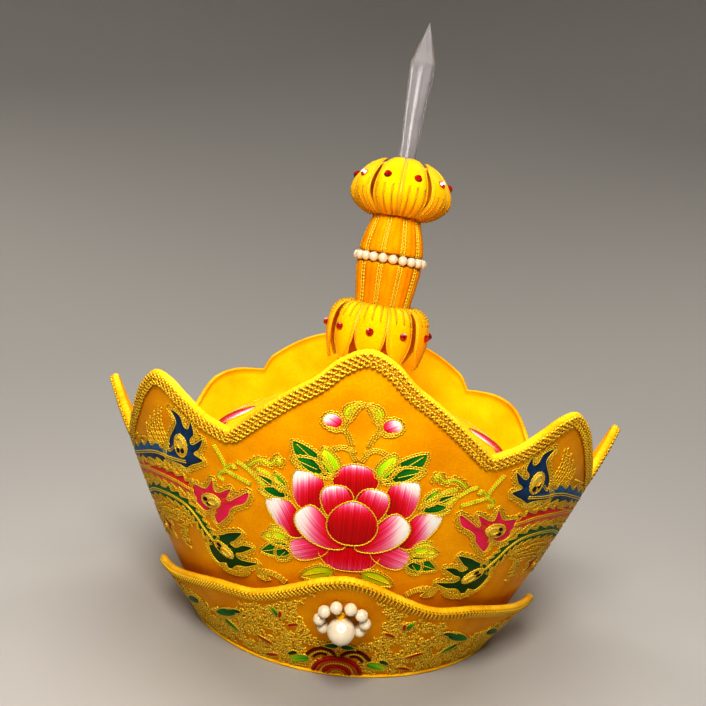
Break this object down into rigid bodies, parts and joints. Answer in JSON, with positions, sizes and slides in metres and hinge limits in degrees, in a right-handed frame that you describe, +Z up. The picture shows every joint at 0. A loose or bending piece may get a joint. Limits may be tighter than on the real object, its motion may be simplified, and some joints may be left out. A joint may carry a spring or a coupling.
{
  "type": "five buddha crown",
  "caption": "Embroidered ceremonial crown: padded cap in a flared wall of pointed petals, with a visor, pearl rosette and a lotus finial topped by a crystal spear.",
  "frame": {"origin": "on the plane of the rim, under the middle of the whole outline", "axes": "+Z up through the finial, -Y towards the front petal and the visor, +X to the left of the wearer"},
  "size_m": [0.3054, 0.3476, 0.3768],
  "materials": {
    "gold_satin": "gold-orange embroidered satin",
    "yellow_satin": "bright yellow satin",
    "gold_braid": "metallic gold thread braid",
    "pearl": "ivory imitation pearl",
    "red_stone": "faceted red stone",
    "crystal": "clear cut glass"
  },
  "bodies": {
    "root": {"inner_cap": "yellow_satin", "crown_front": "gold_satin", "crown_back": "gold_satin", "crown_braid": "gold_braid", "visor": "gold_satin", "visor_braid": "gold_braid", "rosette_pearl_centre": "pearl", "rosette_pearl_1": "pearl", "rosette_pearl_2": "pearl", "rosette_pearl_3": "pearl", "rosette_pearl_4": "pearl", "rosette_pearl_5": "pearl", "rosette_pearl_6": "pearl", "rosette_pearl_7": "pearl", "rosette_pearl_8": "pearl", "stem": "yellow_satin", "collar_lotus": "yellow_satin", "bud_lotus": "yellow_satin", "pearl_ring": "pearl", "crystal_spike": "crystal", "collar_stone_1": "red_stone", "collar_stone_2": "red_stone", "collar_stone_3": "red_stone", "collar_stone_4": "red_stone", "collar_stone_5": "red_stone", "collar_stone_6": "red_stone", "collar_stone_7": "red_stone", "collar_stone_8": "red_stone", "collar_stone_9": "red_stone", "collar_stone_10": "red_stone", "bud_stone_1": "red_stone", "bud_stone_2": "red_stone", "bud_stone_3": "red_stone", "bud_stone_4": "red_stone", "bud_stone_5": "red_stone", "bud_stone_6": "red_stone", "bud_stone_7": "red_stone", "bud_stone_8": "red_stone", "bud_stone_9": "red_stone", "bud_stone_10": "red_stone"}
  },
  "joints": []
}
